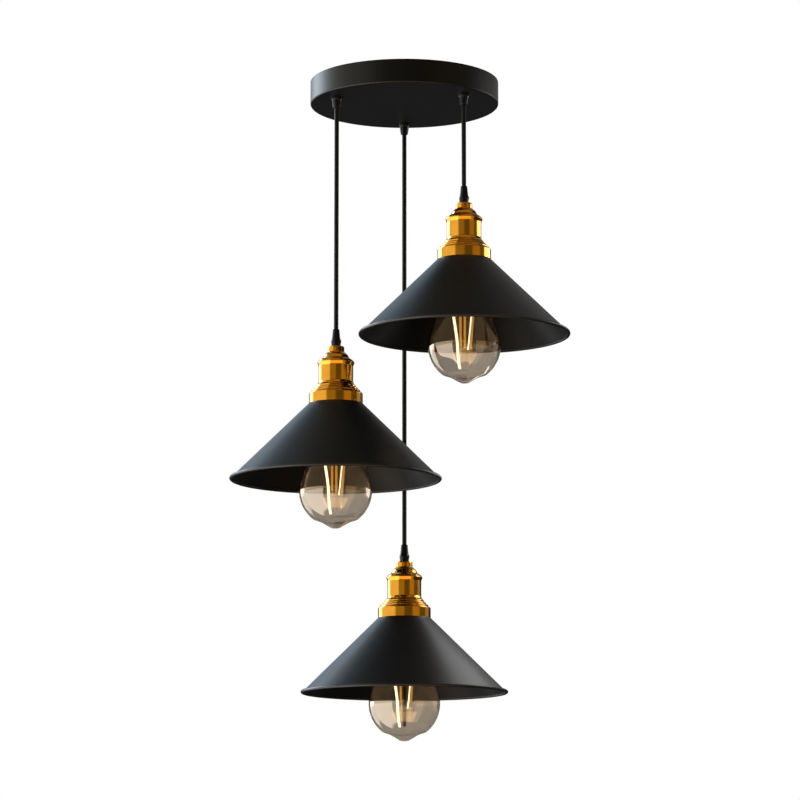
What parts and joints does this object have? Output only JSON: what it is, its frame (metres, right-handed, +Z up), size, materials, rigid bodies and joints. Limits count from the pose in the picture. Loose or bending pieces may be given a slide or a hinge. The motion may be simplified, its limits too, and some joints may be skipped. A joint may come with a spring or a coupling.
{
  "type": "pendant lamp",
  "caption": "Cluster pendant lamp: cone-shaped black metal shades with brass holders and amber pear bulbs hang on cords at stepped heights below a round ceiling canopy.",
  "frame": {"origin": "on the ceiling plane at the canopy's centre, between the two mounting slots", "axes": "+Z up into the ceiling, +X to the right and +Y away from the viewer in the picture; the strap lies along X"},
  "size_m": [0.3535, 0.3503, 0.6944],
  "materials": {
    "black_paint": "satin black powder coat on steel",
    "brass": "polished, clear lacquered",
    "black_cord": "smooth black flexible sheath",
    "black_plastic": "glossy black nylon",
    "amber_glass": "clear amber-tinted glass",
    "clear_glass": "clear glass",
    "black_glass": "opaque black glass",
    "filament": "phosphor-coated light strip",
    "bulb_brass": "plain brass with a solder button",
    "porcelain": "glazed white porcelain",
    "zinc_steel": "zinc-plated steel",
    "dark_steel": "blackened steel",
    "white_plastic": "natural white nylon",
    "brown_wire": "brown wire insulation",
    "blue_wire": "blue wire insulation",
    "green_wire": "green wire insulation with a yellow stripe"
  },
  "bodies": {
    "canopy_body": {"canopy": "black_paint", "ceiling_bracket": "zinc_steel", "canopy_side_screws": "dark_steel", "terminal_block": "white_plastic", "terminal_pillars": "brass", "terminal_screws": "zinc_steel", "canopy_cord_grips": "black_plastic", "canopy_locknuts": "zinc_steel", "canopy_cord_ends": "black_cord", "live_wires": "brown_wire", "neutral_wires": "blue_wire", "earth_wires": "green_wire"},
    "left_hanging_cord": {"left_cord": "black_cord"},
    "left_lamp": {"left_cord_grip": "black_plastic", "left_holder_cap": "brass", "left_holder_body": "brass", "left_shade_collar": "brass", "left_shade_ring": "brass", "left_socket_core": "porcelain", "left_screw_shell": "brass", "left_socket_contacts": "brass", "left_cord_end": "black_cord", "left_shade": "black_paint"},
    "left_bulb": {"left_bulb_glass": "amber_glass", "left_bulb_cap": "bulb_brass", "left_bulb_insulator": "black_glass", "left_bulb_stem": "clear_glass", "left_bulb_filaments": "filament"},
    "right_hanging_cord": {"right_cord": "black_cord"},
    "right_lamp": {"right_cord_grip": "black_plastic", "right_holder_cap": "brass", "right_holder_body": "brass", "right_shade_collar": "brass", "right_shade_ring": "brass", "right_socket_core": "porcelain", "right_screw_shell": "brass", "right_socket_contacts": "brass", "right_cord_end": "black_cord", "right_shade": "black_paint"},
    "right_bulb": {"right_bulb_glass": "amber_glass", "right_bulb_cap": "bulb_brass", "right_bulb_insulator": "black_glass", "right_bulb_stem": "clear_glass", "right_bulb_filaments": "filament"},
    "back_hanging_cord": {"back_cord": "black_cord"},
    "back_lamp": {"back_cord_grip": "black_plastic", "back_holder_cap": "brass", "back_holder_body": "brass", "back_shade_collar": "brass", "back_shade_ring": "brass", "back_socket_core": "porcelain", "back_screw_shell": "brass", "back_socket_contacts": "brass", "back_cord_end": "black_cord", "back_shade": "black_paint"},
    "back_bulb": {"back_bulb_glass": "amber_glass", "back_bulb_cap": "bulb_brass", "back_bulb_insulator": "black_glass", "back_bulb_stem": "clear_glass", "back_bulb_filaments": "filament"}
  },
  "joints": [
    {"name": "left_swing", "type": "hinge", "parent": "canopy_body", "child": "left_hanging_cord", "pos_m": [-0.07128, -0.03632, -0.0376], "axis": [-0.454, 0.891, 0], "range_deg": [-1, 30]},
    {"name": "left_tilt", "type": "hinge", "parent": "left_hanging_cord", "child": "left_lamp", "pos_m": [-0.07128, -0.03632, -0.2731], "axis": [-0.891, -0.454, 0], "range_deg": [-4, 4]},
    {"name": "left_bulb_removal", "type": "slide", "parent": "left_lamp", "child": "left_bulb", "axis": [0, 0, -1], "range_m": [0, 0.03]},
    {"name": "right_swing", "type": "hinge", "parent": "canopy_body", "child": "right_hanging_cord", "pos_m": [0.06217, -0.05035, -0.0376], "axis": [-0.6293, -0.7771, 0], "range_deg": [-1, 30]},
    {"name": "right_tilt", "type": "hinge", "parent": "right_hanging_cord", "child": "right_lamp", "pos_m": [0.06217, -0.05035, -0.1236], "axis": [0.7771, -0.6293, 0], "range_deg": [-4, 4]},
    {"name": "right_bulb_removal", "type": "slide", "parent": "right_lamp", "child": "right_bulb", "axis": [0, 0, -1], "range_m": [0, 0.03]},
    {"name": "back_swing", "type": "hinge", "parent": "canopy_body", "child": "back_hanging_cord", "pos_m": [0, 0.08, -0.0376], "axis": [1, 0, 0], "range_deg": [-1, 30]},
    {"name": "back_tilt", "type": "hinge", "parent": "back_hanging_cord", "child": "back_lamp", "pos_m": [0, 0.08, -0.4851], "axis": [0, 1, 0], "range_deg": [-4, 4]},
    {"name": "back_bulb_removal", "type": "slide", "parent": "back_lamp", "child": "back_bulb", "axis": [0, 0, -1], "range_m": [0, 0.03]}
  ]
}
